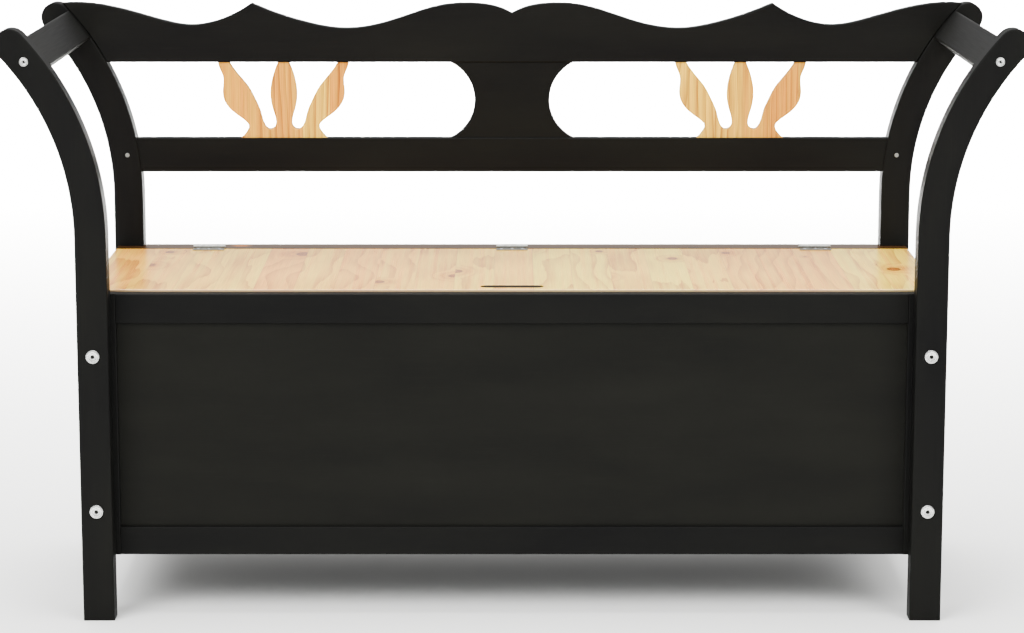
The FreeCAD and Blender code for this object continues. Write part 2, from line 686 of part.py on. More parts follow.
def crest_half(side):
    """Coped end, then the waved top edge as far as the middle notch."""
    low, top = places.crest_low, places.crest_top

    def wave(*points):
        return curve(*[(side * reach * share, top - drop) for share, drop in points])
    reach = abs(at_leg(1, top)[0])
    peak = (0.58, 0)
    return coped_end(side, low, top) + [
        wave((1, 0), (0.9, 3.5), (0.847, 11), (0.777, 23), (0.712, 29), (0.647, 21.5),
             (0.607, 10.5), peak),
        wave(peak, (0.538, 10.5), (0.468, 24), (0.37, 33.5), (0.27, 23.5), (0.195, 8.5), (0.143, 1.5),
             (0.095, 0), (0.045, 3), (0, 13.5)),
    ]


def crest_board():
    low = places.crest_low
    edges = [line(at_leg(-1, low), at_leg(1, low))] + crest_half(1) + crest_half(-1)
    crest = outline_plate("crest_board", edges, "back_thickness", "back_middle")
    soften(crest, "crest_round", in_faces)
    for side in (-1, 1):
        for height in CREST_DOWELS:
            rod(crest, "Subtractive", "x", crest_dowel_start(side, height, "0"), "dowel_radius",
                "2 * dowel_half")
    for x, z in back_dowels():
        if z == "crest_low":
            rod(crest, "Subtractive", "z", (x, "0", "crest_low"), "small_dowel_radius",
                "small_dowel_half")


def bore_splat(body, middle, shifts_low, shifts_high):
    """Dowel holes in a splat's two ends."""
    for shift in shifts_low:
        rod(body, "Subtractive", "z", (f"{middle} + {shift}", "0", "lower_rail_top"), "small_dowel_radius",
            "small_dowel_half")
    for shift in shifts_high:
        rod(body, "Subtractive", "z", (f"{middle} + {shift}", "0", "crest_low - small_dowel_half"),
            "small_dowel_radius", "small_dowel_half")


def centre_splat():
    """Waisted board with a hollow arc down each side."""
    low, high = places.lower_rail_top, places.crest_low
    end, waist = size("splat_end_width") / 2, size("splat_waist") / 2
    edges = [line((-end, low), (end, low)), line((end, high), (-end, high))]
    for side in (-1, 1):
        edges.append(arc((side * end, low), (side * waist, (low + high) / 2), (side * end, high)))
    body = outline_plate("centre_splat", edges, "splat_thickness", "back_middle")
    soften(body, "crest_round", rims_between(low, high))
    bore_splat(body, "0", SPLAT_DOWELS, SPLAT_DOWELS)


def rims_between(low, high):
    """Edges of a plate's faces, apart from those that meet the rails at its two ends."""
    def choose(edge):
        box = edge.BoundBox
        at_end = box.ZLength < 1e-6 and (abs(box.ZMin - low) < 1e-6 or abs(box.ZMin - high) < 1e-6)
        return in_faces(edge) and not at_end
    return choose


def tulip_half(middle, side, low, rise):
    """One side of the tulip: foot, outer leaf and half of the middle leaf."""
    def at(across, up):
        return (middle + side * across, low + up * rise)
    return [
        line(at(0, 0), at(58, 0)),
        curve(at(58, 0), at(50, 0.09), at(47.6, 0.155), at(55, 0.245), at(69.7, 0.355), at(79.3, 0.477),
              at(82.1, 0.62), at(81.5, 0.81), at(85.5, 0.91), at(88, 1)),
        line(at(88, 1), at(72.5, 1)),
        curve(at(72.5, 1), at(59.5, 0.82), at(47, 0.667), at(38, 0.5), at(31.2, 0.344), at(26.7, 0.19),
              at(20, 0.12), at(12.5, 0.15), at(11, 0.22), at(15, 0.38), at(18.1, 0.566), at(15, 0.8),
              at(7.6, 1)),
        line(at(7.6, 1), at(0, 1)),
    ]


def tulip(side_name, side):
    low, high = places.lower_rail_top, places.crest_low
    middle = side * places.tulip_x
    edges = tulip_half(middle, 1, low, high - low) + tulip_half(middle, -1, low, high - low)
    body = outline_plate(f"tulip_{side_name}", edges, "tulip_thickness", "back_middle")
    soften(body, "crest_round", rims_between(low, high))
    bore_splat(body, signed(side, "tulip_x"), TULIP_FOOT_DOWELS, TULIP_TIP_DOWELS)


# ---------------------------------------------------------------------------------------------
# Fasteners
# ---------------------------------------------------------------------------------------------
def start_at(seat, axis, shift):
    """The seat, three formulas, moved along an axis."""
    return tuple(f"{place} + {shift}" if name == axis else place for name, place in zip("xyz", seat))


def head_rim(body, axis, facing):
    """A picker of the outer rim of a screw's head."""
    letter = axis.upper()
    box = body.Shape.BoundBox
    outer = getattr(box, f"{letter}Max") if facing > 0 else getattr(box, f"{letter}Min")

    def choose(edge):
        rim = edge.BoundBox
        return getattr(rim, f"{letter}Length") < 1e-6 and abs(getattr(rim, f"{letter}Min") - outer) < 1e-6
    return choose


# Shares of a screw head's height
RIM_ROUND = 0.45
SOCKET_DEPTH = 0.7


def screw(label, axis, facing, seat, shank, head, socket=None):
    """Round-headed screw. facing is -1 with its head at the low side of the axis and 1 at the high
    side, seat is where the head bears, shank and head are each a radius and a length, and socket is
    its number of sides and its radius."""
    body = new_body(label)
    radius, height = head
    outward = height if facing > 0 else f"(-({height}))"
    rod(body, "Additive", axis, start_at(seat, axis, 0 if facing > 0 else outward), radius, height)
    if socket:
        doc.recompute()
        soften(body, f"{height} * {RIM_ROUND}", head_rim(body, axis, facing))
        prism = body.newObject("PartDesign::SubtractivePrism", f"{label}_socket")
        prism.Polygon = socket[0]
        prism.Placement = FreeCAD.Placement(Vector(), FreeCAD.Rotation(AXES["z"], AXES[axis]))
        low = start_at(seat, axis, f"{height} * (1 - {SOCKET_DEPTH})" if facing > 0 else outward)
        bind(prism, Circumradius=socket[1], Height=f"{height} * {SOCKET_DEPTH}", x=low[0], y=low[1],
             z=low[2])
    thickness, length = shank
    low = start_at(seat, axis, f"(-({length}))" if facing > 0 else 0)
    rod(body, "Additive", axis, low, thickness, length)
    return body


def peg(label, axis, start, radius, length):
    body = new_body(label)
    rod(body, "Additive", axis, start, radius, length)
    return body


def group(label, pieces):
    """One node for a set of like pieces; each stays a solid of its own."""
    compound = doc.addObject("Part::Compound", label)
    compound.Label = label
    compound.Links = pieces
    return compound


def leg_fasteners():
    """Bolts through legs and frames into barrel nuts, armrest screws, and the lower rail's screws."""
    nuts, arm_screws, rail_screws = [], [], []
    for end_name, end in ENDS:
        bolts = []
        for _, side in SIDES:
            x = signed(side, "leg_center")
            face = signed(end, "leg_face")
            for height in ("bolt_low", "bolt_high"):
                number = len(bolts) + 1
                bolts.append(screw(f"{end_name}_bolt_{number}", "y", end, (x, face, height),
                                   ("bolt_radius", "bolt_length"), ("bolt_head_radius", "bolt_head_height"),
                                   (6, "bolt_radius")))
                nut_x = "side_inside" if side > 0 else "-side_inside - nut_length"
                nut = peg(f"nut_{len(nuts) + 1}", "x", (nut_x, signed(end, "nut_y"), height), "nut_radius",
                          "nut_length")
                bolt_y = "-frame_inside" if end < 0 else "frame_inside - bolt_reach"
                rod(nut, "Subtractive", "y", (x, bolt_y, height), "bolt_radius", "bolt_reach")
                nuts.append(nut)
            arm_screws.append(screw(f"arm_screw_{len(arm_screws) + 1}", "y", end,
                                    (signed(side, "arm_x"), face, "arm_z"),
                                    ("arm_screw_radius", "arm_screw_length"),
                                    ("arm_head_radius", "arm_head_height"), (6, "arm_screw_radius")))
        group(f"{end_name}_leg_bolts", bolts)
    for _, side in SIDES:
        seat = (signed(side, "leg_center"), "box_face", "lower_rail_low + lower_rail_width / 2")
        rail_screws.append(screw(f"rail_screw_{len(rail_screws) + 1}", "y", -1, seat,
                                 ("rail_screw_radius", "rail_screw_length"),
                                 ("rail_screw_head", "small_head_height"), (4, "rail_screw_radius")))
    group("barrel_nuts", nuts)
    group("armrest_screws", arm_screws)
    group("lower_rail_screws", rail_screws)


LEAF_MIDDLE = "(leaf_setback + leaf_reach) / 2"
BATTEN_SCREWS = (-0.36, 0, 0.36)
LONG_CLEAT_SCREWS = (-0.6, 0, 0.6)
SHORT_CLEAT_SCREWS = (-0.6, 0.6)


def hinge_screw_places():
    """Places across the bench of the three screws in each leaf."""
    thirds = (-1, 0, 1)
    return [f"{hinge} * hinge_place + {spot} * hinge_length / 3" for hinge in thirds for spot in thirds]


def hinge_fasteners():
    """Screws of the hinge leaves, with their holes in the lid and the hinge rail."""
    seat_z = "seat_height + leaf_thickness"
    hole_z = "seat_height - hinge_screw_length + leaf_thickness"
    for label, wood, y in (("hinge_screws_fixed", "hinge_rail", f"hinge_y + {LEAF_MIDDLE}"),
                           ("hinge_screws_lid", "seat_lid", f"hinge_y - {LEAF_MIDDLE}")):
        pieces = []
        for x in hinge_screw_places():
            pieces.append(screw(f"{label}_{len(pieces) + 1}", "z", 1, (x, y, seat_z),
                                ("hinge_screw_radius", "hinge_screw_length"),
                                ("hinge_screw_head", "small_head_height"), (4, "hinge_screw_radius")))
            rod(doc.getObject(wood), "Subtractive", "z", (x, y, hole_z), "hinge_screw_radius",
                "hinge_screw_length - leaf_thickness")
        group(label, pieces)


def batten_fasteners():
    """Screws through the battens into the lid."""
    pieces = []
    low = "lid_bottom - batten_thickness"
    for side_name, side in SIDES:
        for share in BATTEN_SCREWS:
            x = signed(side, "batten_place")
            y = f"lid_middle + {share} * batten_length"
            pieces.append(screw(f"batten_screw_{len(pieces) + 1}", "z", -1, (x, y, low),
                                ("wood_screw_radius", "batten_thickness + wood_screw_bite"),
                                ("wood_screw_head", "small_head_height")))
            rod(doc.getObject(f"lid_batten_{side_name}"), "Subtractive", "z", (x, y, low),
                "wood_screw_radius", "batten_thickness")
            rod(doc.seat_lid, "Subtractive", "z", (x, y, "lid_bottom"), "wood_screw_radius",
                "wood_screw_bite")
    group("batten_screws", pieces)


def cleat_fasteners():
    """Screws through the cleats into the bottom rails."""
    pieces = []
    z = "floor_low - cleat_size / 2"
    runs = [("y", end, end_name, [f"{share} * opening_half" for share in LONG_CLEAT_SCREWS])
            for end_name, end in ENDS]
    runs += [("x", side, side_name, [f"{share} * side_opening_half" for share in SHORT_CLEAT_SCREWS])
             for side_name, side in SIDES]
    for axis, way, name, shifts in runs:
        inside = "frame_inside" if axis == "y" else "side_inside"
        face = signed(way, f"({inside} - cleat_size)")
        cleat = doc.getObject(f"cleat_{name}")
        rail = doc.getObject(f"{name}_bottom_rail" if axis == "y" else f"side_bottom_rail_{name}")
        for shift in shifts:
            seat = (shift, face, z) if axis == "y" else (face, shift, z)
            pieces.append(screw(f"cleat_screw_{len(pieces) + 1}", axis, -way, seat,
                                ("wood_screw_radius", "cleat_size + wood_screw_bite"),
                                ("wood_screw_head", "small_head_height")))
            low = seat if way > 0 else start_at(seat, axis, "(-cleat_size - wood_screw_bite)")
            for wood in (cleat, rail):
                rod(wood, "Subtractive", axis, low, "wood_screw_radius", "cleat_size + wood_screw_bite")
    group("cleat_screws", pieces)


def dowels():
    """Every glued dowel, grouped by the joint it serves."""
    corner, crest = [], []
    for _, side in SIDES:
        x = signed(side, "leg_center")
        for _, end in ENDS:
            start_y = signed(end, "frame_inside") + " - dowel_half"
            for height in CORNER_DOWELS:
                corner.append(peg(f"corner_dowel_{len(corner) + 1}", "y", (x, start_y, height),
                                  "dowel_radius", "2 * dowel_half"))
        for height in CREST_DOWELS:
            start = crest_dowel_start(side, height, "back_middle")
            crest.append(peg(f"crest_dowel_{len(crest) + 1}", "x", start, "dowel_radius",
                             "2 * dowel_half"))
    back = []
    for x, z in back_dowels():
        back.append(peg(f"splat_dowel_{len(back) + 1}", "z", (x, "back_middle", f"{z} - small_dowel_half"),
                        "small_dowel_radius", "2 * small_dowel_half"))
    rail = []
    for x in RAIL_DOWELS:
        start = (x, RAIL_DOWEL_Y, "lid_bottom - small_dowel_half")
        rail.append(peg(f"rail_dowel_{len(rail) + 1}", "z", start, "small_dowel_radius",
                        "2 * small_dowel_half"))
        rod(doc.rear_top_rail, "Subtractive", "z", start, "small_dowel_radius", "small_dowel_half")
    group("corner_dowels", corner)
    group("crest_dowels", crest)
    group("splat_dowels", back)
    group("hinge_rail_dowels", rail)


# ---------------------------------------------------------------------------------------------
# Build, check and write
# ---------------------------------------------------------------------------------------------
def sub_parts():
    """Bodies, groups and shapes that are nodes: those that aren't inside a group."""
    kinds = ("PartDesign::Body", "Part::Compound", "Part::Feature")
    grouped = {piece.Name for item in doc.Objects if item.TypeId == "Part::Compound" for piece in item.Links}
    return [item for item in doc.Objects if item.TypeId in kinds and item.Name not in grouped]


def check(items):
    """Stop at any object that failed to build, or sub-part whose shape isn't sound."""
    failed = [item.Name for item in doc.Objects if {"Invalid", "Error"} & set(item.State)]
    failed += [item.Label for item in items if item.Shape.isNull() or not item.Shape.isValid()]
    if failed:
        raise RuntimeError("these objects failed: " + ", ".join(failed))


sheet, places = write_sizes()
for side_name, side in SIDES:
    for end_name, end in ENDS:
        leg(end_name, end, side_name, side)
    armrest(side_name, side)
    side_frame(side_name, side)
for end_name, end in ENDS:
    long_frame(end_name, end)
box_floor()
hinge_rail()
seat_lid()
battens()
hinges()
lower_rail()
crest_board()
centre_splat()
for side_name, side in SIDES:
    tulip(side_name, side)
leg_fasteners()
hinge_fasteners()
batten_fasteners()
cleat_fasteners()
dowels()
doc.recompute()

nodes = sub_parts()
check(nodes)
os.makedirs("parts", exist_ok=True)
for item in nodes:
    item.Shape.exportStep(f"parts/{item.Label}.step")
whole = Part.makeCompound([item.Shape for item in nodes]).optimalBoundingBox()
print(f"{len(nodes)} nodes, {whole.XLength:.1f} x {whole.YLength:.1f} x {whole.ZLength:.1f} mm")
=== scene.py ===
# %% [markdown]
# # A storage bench in black satin paint and clear-varnished fir
# The woodwork, the hinges and the bolts come as a finished model: the frame. This lesson gives each
# of them the look of its real material, adds the small things that joinery leaves on the surface,
# and sets up a pale studio round it. Everything is in metres: X runs to the right as one faces the
# bench, Y runs to the back, and Z runs up from the floor.

# %% The frame
import math
import bmesh
import bpy
from mathutils import Matrix, Vector


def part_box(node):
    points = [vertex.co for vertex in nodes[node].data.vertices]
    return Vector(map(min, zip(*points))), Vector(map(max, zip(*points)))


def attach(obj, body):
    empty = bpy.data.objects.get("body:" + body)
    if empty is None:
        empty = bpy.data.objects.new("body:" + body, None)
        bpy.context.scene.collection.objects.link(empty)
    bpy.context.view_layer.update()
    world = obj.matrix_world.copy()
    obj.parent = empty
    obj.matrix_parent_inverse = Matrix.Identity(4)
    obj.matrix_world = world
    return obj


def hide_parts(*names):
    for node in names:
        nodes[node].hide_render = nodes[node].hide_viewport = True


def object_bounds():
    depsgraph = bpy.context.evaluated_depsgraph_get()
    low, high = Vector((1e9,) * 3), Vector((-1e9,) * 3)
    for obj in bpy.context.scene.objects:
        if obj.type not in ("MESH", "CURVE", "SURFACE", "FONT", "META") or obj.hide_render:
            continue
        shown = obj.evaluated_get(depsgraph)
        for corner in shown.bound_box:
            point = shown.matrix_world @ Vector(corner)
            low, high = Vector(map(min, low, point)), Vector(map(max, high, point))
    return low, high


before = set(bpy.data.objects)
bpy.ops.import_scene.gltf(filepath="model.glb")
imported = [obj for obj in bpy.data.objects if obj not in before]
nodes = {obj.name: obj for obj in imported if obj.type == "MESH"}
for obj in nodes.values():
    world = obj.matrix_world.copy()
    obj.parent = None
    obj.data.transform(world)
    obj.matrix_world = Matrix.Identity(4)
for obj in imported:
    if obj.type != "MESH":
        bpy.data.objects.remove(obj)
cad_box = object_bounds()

MM = 0.001
print("pieces in the frame:", len(nodes))

# %% [markdown]
# ## Colours and nodes
# A colour picked on a screen is sRGB, but light adds up in linear values, so one function turns a
# hex colour to linear. A material is a small graph of nodes. One more function adds a node, sets it
# and links it, so that each material below reads from top to bottom like a recipe.
# A Mix node has sockets for every data type: for colours, inputs 6 and 7 are the two to mix, and
# output 2 is their mix. A Map Range node moves a value from one range to another and holds it there.

# %% Colours, nodes and materials
def colour(hex_code):
    """A linear RGBA colour from an sRGB hex code."""
    parts = [int(hex_code[i:i + 2], 16) / 255 for i in (1, 3, 5)]
    linear = [part / 12.92 if part <= 0.04045 else ((part + 0.055) / 1.055) ** 2.4 for part in parts]
    return (*linear, 1.0)


def add(tree, kind, inputs=None, **settings):
    """Adds one node. An input is a number, a colour, or another node's output to link."""
    made = tree.nodes.new(f"ShaderNode{kind}")
    for name, value in settings.items():
        setattr(made, name, value)
    for name, value in (inputs or {}).items():
        if isinstance(value, bpy.types.NodeSocket):
            tree.links.new(value, made.inputs[name])
        else:
            made.inputs[name].default_value = value
    return made


def new_material(name):
    """A material with its shader, and the tree that holds its nodes."""
    material = bpy.data.materials.new(name)
    material.use_nodes = True
    return material, material.node_tree, material.node_tree.nodes["Principled BSDF"]


print("amber in linear light:", [round(part, 3) for part in colour("#FFBF00")])

# %% [markdown]
# ## Wood grain
# Fir is a softwood with a plain figure: each year adds a broad pale band and a thin darker line. A
# board is a slice through those rings, so the figure isn't painted on: it is worked out as distance
# from the tree's heart, at every point of the board. The top of a board then shows lines along the
# grain, and its sawn end shows the arcs of the rings, as a real one does.
# A lid this wide is glued up from narrow staves. Each stave comes from another part of a tree, so
# each takes its own random heart and tone. The grain always runs along the pattern's own Y, and
# a Mapping node turns it to suit the piece.

# %% How a board is cut
RING = 3.4 * MM          # one year's growth
FIBRE = 0.9 * MM         # a fibre bundle's width; real ones are a tenth of this, too fine to show
FIBRE_LENGTH = 70 * MM
WANDER = 16 * MM         # how far a board leaves the line of the tree's heart along its length
WAVER = 2.2 * MM         # how far a ring strays from a true circle
SHALLOWEST = 22 * MM     # the nearest that a board is sawn to the heart
DEEPEST = 68 * MM        # and the furthest
STAVE_JUMP = 0.37        # metres along the trunk between one stave and the next
TURNS = {"x": (0, 0, math.radians(90)), "y": (0, 0, 0), "z": (math.radians(-90), 0, 0)}


def grain_space(tree, grain):
    """Object coordinates turned so that the grain runs along Y, and their three parts."""
    place = add(tree, "TexCoord").outputs["Object"]
    turned = add(tree, "Mapping", {"Vector": place, "Rotation": TURNS[grain]})
    parts = add(tree, "SeparateXYZ", {0: turned.outputs[0]})
    return turned.outputs[0], parts.outputs


def stretched_noise(tree, vector, across, length, detail=2.0, seed=0.0):
    """Noise from 0 to 1 whose blots are drawn out along the grain."""
    drawn = add(tree, "Mapping", {"Vector": vector, "Location": (seed, seed, seed),
                                  "Scale": (1 / across, 1 / length, 1 / across)})
    noise = add(tree, "TexNoise", {"Vector": drawn.outputs[0], "Scale": 1.0, "Detail": detail})
    return noise.outputs["Fac"]


def staves(tree, vector, across, width, seed):
    """Cuts a panel into staves: the place across a stave, its random numbers, the distance to a
    glue line, and coordinates that jump along the grain from stave to stave."""
    place = add(tree, "Math", {
        0: add(tree, "Math", {0: across, 1: width}, operation="DIVIDE").outputs[0],
        1: seed,
    }, operation="ADD").outputs[0]
    number = add(tree, "Math", {0: place}, operation="FLOOR").outputs[0]
    chance = add(tree, "TexWhiteNoise", {"W": number}, noise_dimensions="1D")
    lots = add(tree, "SeparateColor", {0: chance.outputs["Color"]}).outputs
    inside = add(tree, "Math", {0: place}, operation="FRACT").outputs[0]
    edge = add(tree, "Math", {
        0: inside,
        1: add(tree, "Math", {0: 1.0, 1: inside}, operation="SUBTRACT").outputs[0],
    }, operation="MINIMUM").outputs[0]
    jump = add(tree, "CombineXYZ", {
        1: add(tree, "Math", {0: number, 1: STAVE_JUMP}, operation="MULTIPLY").outputs[0],
    })
    own = add(tree, "VectorMath", {0: vector, 1: jump.outputs[0]}, operation="ADD").outputs[0]
    return inside, lots, add(tree, "Math", {0: edge, 1: width}, operation="MULTIPLY").outputs[0], own


def rings(tree, vector, parts, width, inside, lots):
    """The year rings: 0 in the pale wood, rising to 1 at each dark line. The heart of a stave's
    tree lies within it, or up to one and a half widths to one side."""
    heart = add(tree, "Math", {0: lots[0], 1: 4.0, 2: -1.5}, operation="MULTIPLY_ADD").outputs[0]
    sideways = add(tree, "Math", {
        0: add(tree, "Math", {0: inside, 1: heart}, operation="SUBTRACT").outputs[0],
        1: width,
    }, operation="MULTIPLY").outputs[0]
    wander = stretched_noise(tree, vector, 300 * MM, 260 * MM, 1.0)
    depth = add(tree, "Math", {
        0: lots[1],
        1: DEEPEST - SHALLOWEST,
        2: SHALLOWEST,
    }, operation="MULTIPLY_ADD").outputs[0]
    depth = add(tree, "Math", {
        0: depth,
        1: add(tree, "Math", {
            0: wander,
            1: WANDER,
            2: -WANDER / 2,
        }, operation="MULTIPLY_ADD").outputs[0],
    }, operation="ADD").outputs[0]
    depth = add(tree, "Math", {0: depth, 1: parts[2]}, operation="ADD").outputs[0]
    squares = add(tree, "Math", {
        0: add(tree, "Math", {0: sideways, 1: 2.0}, operation="POWER").outputs[0],
        1: add(tree, "Math", {0: depth, 1: 2.0}, operation="POWER").outputs[0],
    }, operation="ADD").outputs[0]
    waver = stretched_noise(tree, vector, 12 * MM, 160 * MM, 2.0)
    distance = add(tree, "Math", {
        0: waver,
        1: WAVER,
        2: add(tree, "Math", {0: squares}, operation="SQRT").outputs[0],
    }, operation="MULTIPLY_ADD").outputs[0]
    return add(tree, "Math", {
        0: add(tree, "Math", {0: distance, 1: RING}, operation="DIVIDE").outputs[0],
    }, operation="FRACT").outputs[0]


print("year ring", RING / MM, "mm, fibre", FIBRE / MM, "mm")

# %% [markdown]
# ## Varnished fir
# The lid, the rail that carries its hinges and the two tulips in the backrest are bare fir under a
# clear satin varnish. The eye reads it from four things: warm rings over pale wood, a change of tone
# from stave to stave, a few small knots, and a soft sheen that turns white at a low angle. A knot is
# where a branch grew through: a dark oval that the rings bend round. Sawn ends drink in the varnish
# and stay darker and greyer than the face.

# %% Knots, sawn ends and the painted shade on the walls of a slot
KNOT_SPACING = 95 * MM
SMALLEST_KNOT = 3 * MM
LARGEST_KNOT = 12 * MM


def knots(tree, vector, spacing, share):
    """How deep in a knot a point is, how near one it is, and its distance in knot radii."""
    drawn = add(tree, "Mapping", {"Vector": vector, "Scale": (1 / spacing, 0.72 / spacing, 0.0)})
    sockets = {"Vector": drawn.outputs[0], "Scale": 1.0}
    cell = add(tree, "TexVoronoi", sockets, voronoi_dimensions="2D")
    lots = add(tree, "SeparateColor", {0: cell.outputs["Color"]}).outputs
    chosen = add(tree, "Math", {0: lots[0], 1: share}, operation="LESS_THAN").outputs[0]
    rarity = add(tree, "Math", {0: lots[1], 1: 2.0}, operation="POWER").outputs[0]
    radius = add(tree, "Math", {
        0: rarity,
        1: LARGEST_KNOT - SMALLEST_KNOT,
        2: SMALLEST_KNOT,
    }, operation="MULTIPLY_ADD").outputs[0]
    ratio = add(tree, "Math", {
        0: add(tree, "Math", {
            0: cell.outputs["Distance"],
            1: spacing,
        }, operation="MULTIPLY").outputs[0],
        1: radius,
    }, operation="DIVIDE").outputs[0]
    inside = add(tree, "Math", {
        0: add(tree, "MapRange", {
            "Value": ratio,
            "From Min": 0.75,
            "To Min": 1.0,
            "To Max": 0.0,
        }).outputs[0],
        1: chosen,
    }, operation="MULTIPLY").outputs[0]
    near = add(tree, "Math", {
        0: add(tree, "MapRange", {
            "Value": ratio,
            "From Min": 0.9,
            "From Max": 3.4,
            "To Min": 1.0,
            "To Max": 0.0,
        }).outputs[0],
        1: chosen,
    }, operation="MULTIPLY").outputs[0]
    return inside, near, ratio


def sawn_ends(tree, grain):
    """1 on faces sawn across the grain, 0 on the others."""
    normal = add(tree, "SeparateXYZ", {0: add(tree, "TexCoord").outputs["Normal"]}).outputs
    return add(tree, "MapRange", {
        "Value": add(tree, "Math", {0: normal["xyz".index(grain)]}, operation="ABSOLUTE").outputs[0],
        "From Min": 0.6,
        "From Max": 0.9,
    }).outputs[0]


def slot_wall_shade(tree, middle, half):
    """1 on the upright walls of a slot cut by a router, near its middle and within half its size, which
    get painted shade.
    """
    place = add(tree, "TexCoord")
    offset = add(tree, "VectorMath", {0: place.outputs["Object"], 1: middle}, operation="SUBTRACT")
    reach = add(tree, "VectorMath", {0: offset.outputs[0]}, operation="ABSOLUTE")
    inside = add(tree, "VectorMath", {0: half, 1: reach.outputs[0]}, operation="SUBTRACT")
    parts = add(tree, "SeparateXYZ", {0: inside.outputs[0]}).outputs
    within = add(tree, "Math", {
        0: add(tree, "Math", {0: parts[0], 1: parts[1]}, operation="MINIMUM").outputs[0],
        1: 0.0,
    }, operation="GREATER_THAN").outputs[0]
    slope = add(tree, "SeparateXYZ", {0: place.outputs["Normal"]}).outputs
    upright = add(tree, "MapRange", {
        "Value": add(tree, "Math", {0: slope[2]}, operation="ABSOLUTE").outputs[0],
        "From Min": 0.2,
        "From Max": 0.8,
        "To Min": 1.0,
        "To Max": 0.0,
    }).outputs[0]
    return add(tree, "Math", {0: within, 1: upright}, operation="MULTIPLY").outputs[0]


print("knots", 2 * SMALLEST_KNOT / MM, "to", 2 * LARGEST_KNOT / MM, "mm across")

# %% Varnished fir
SEAM = 0.6 * MM          # a glue line and the darker wood beside it


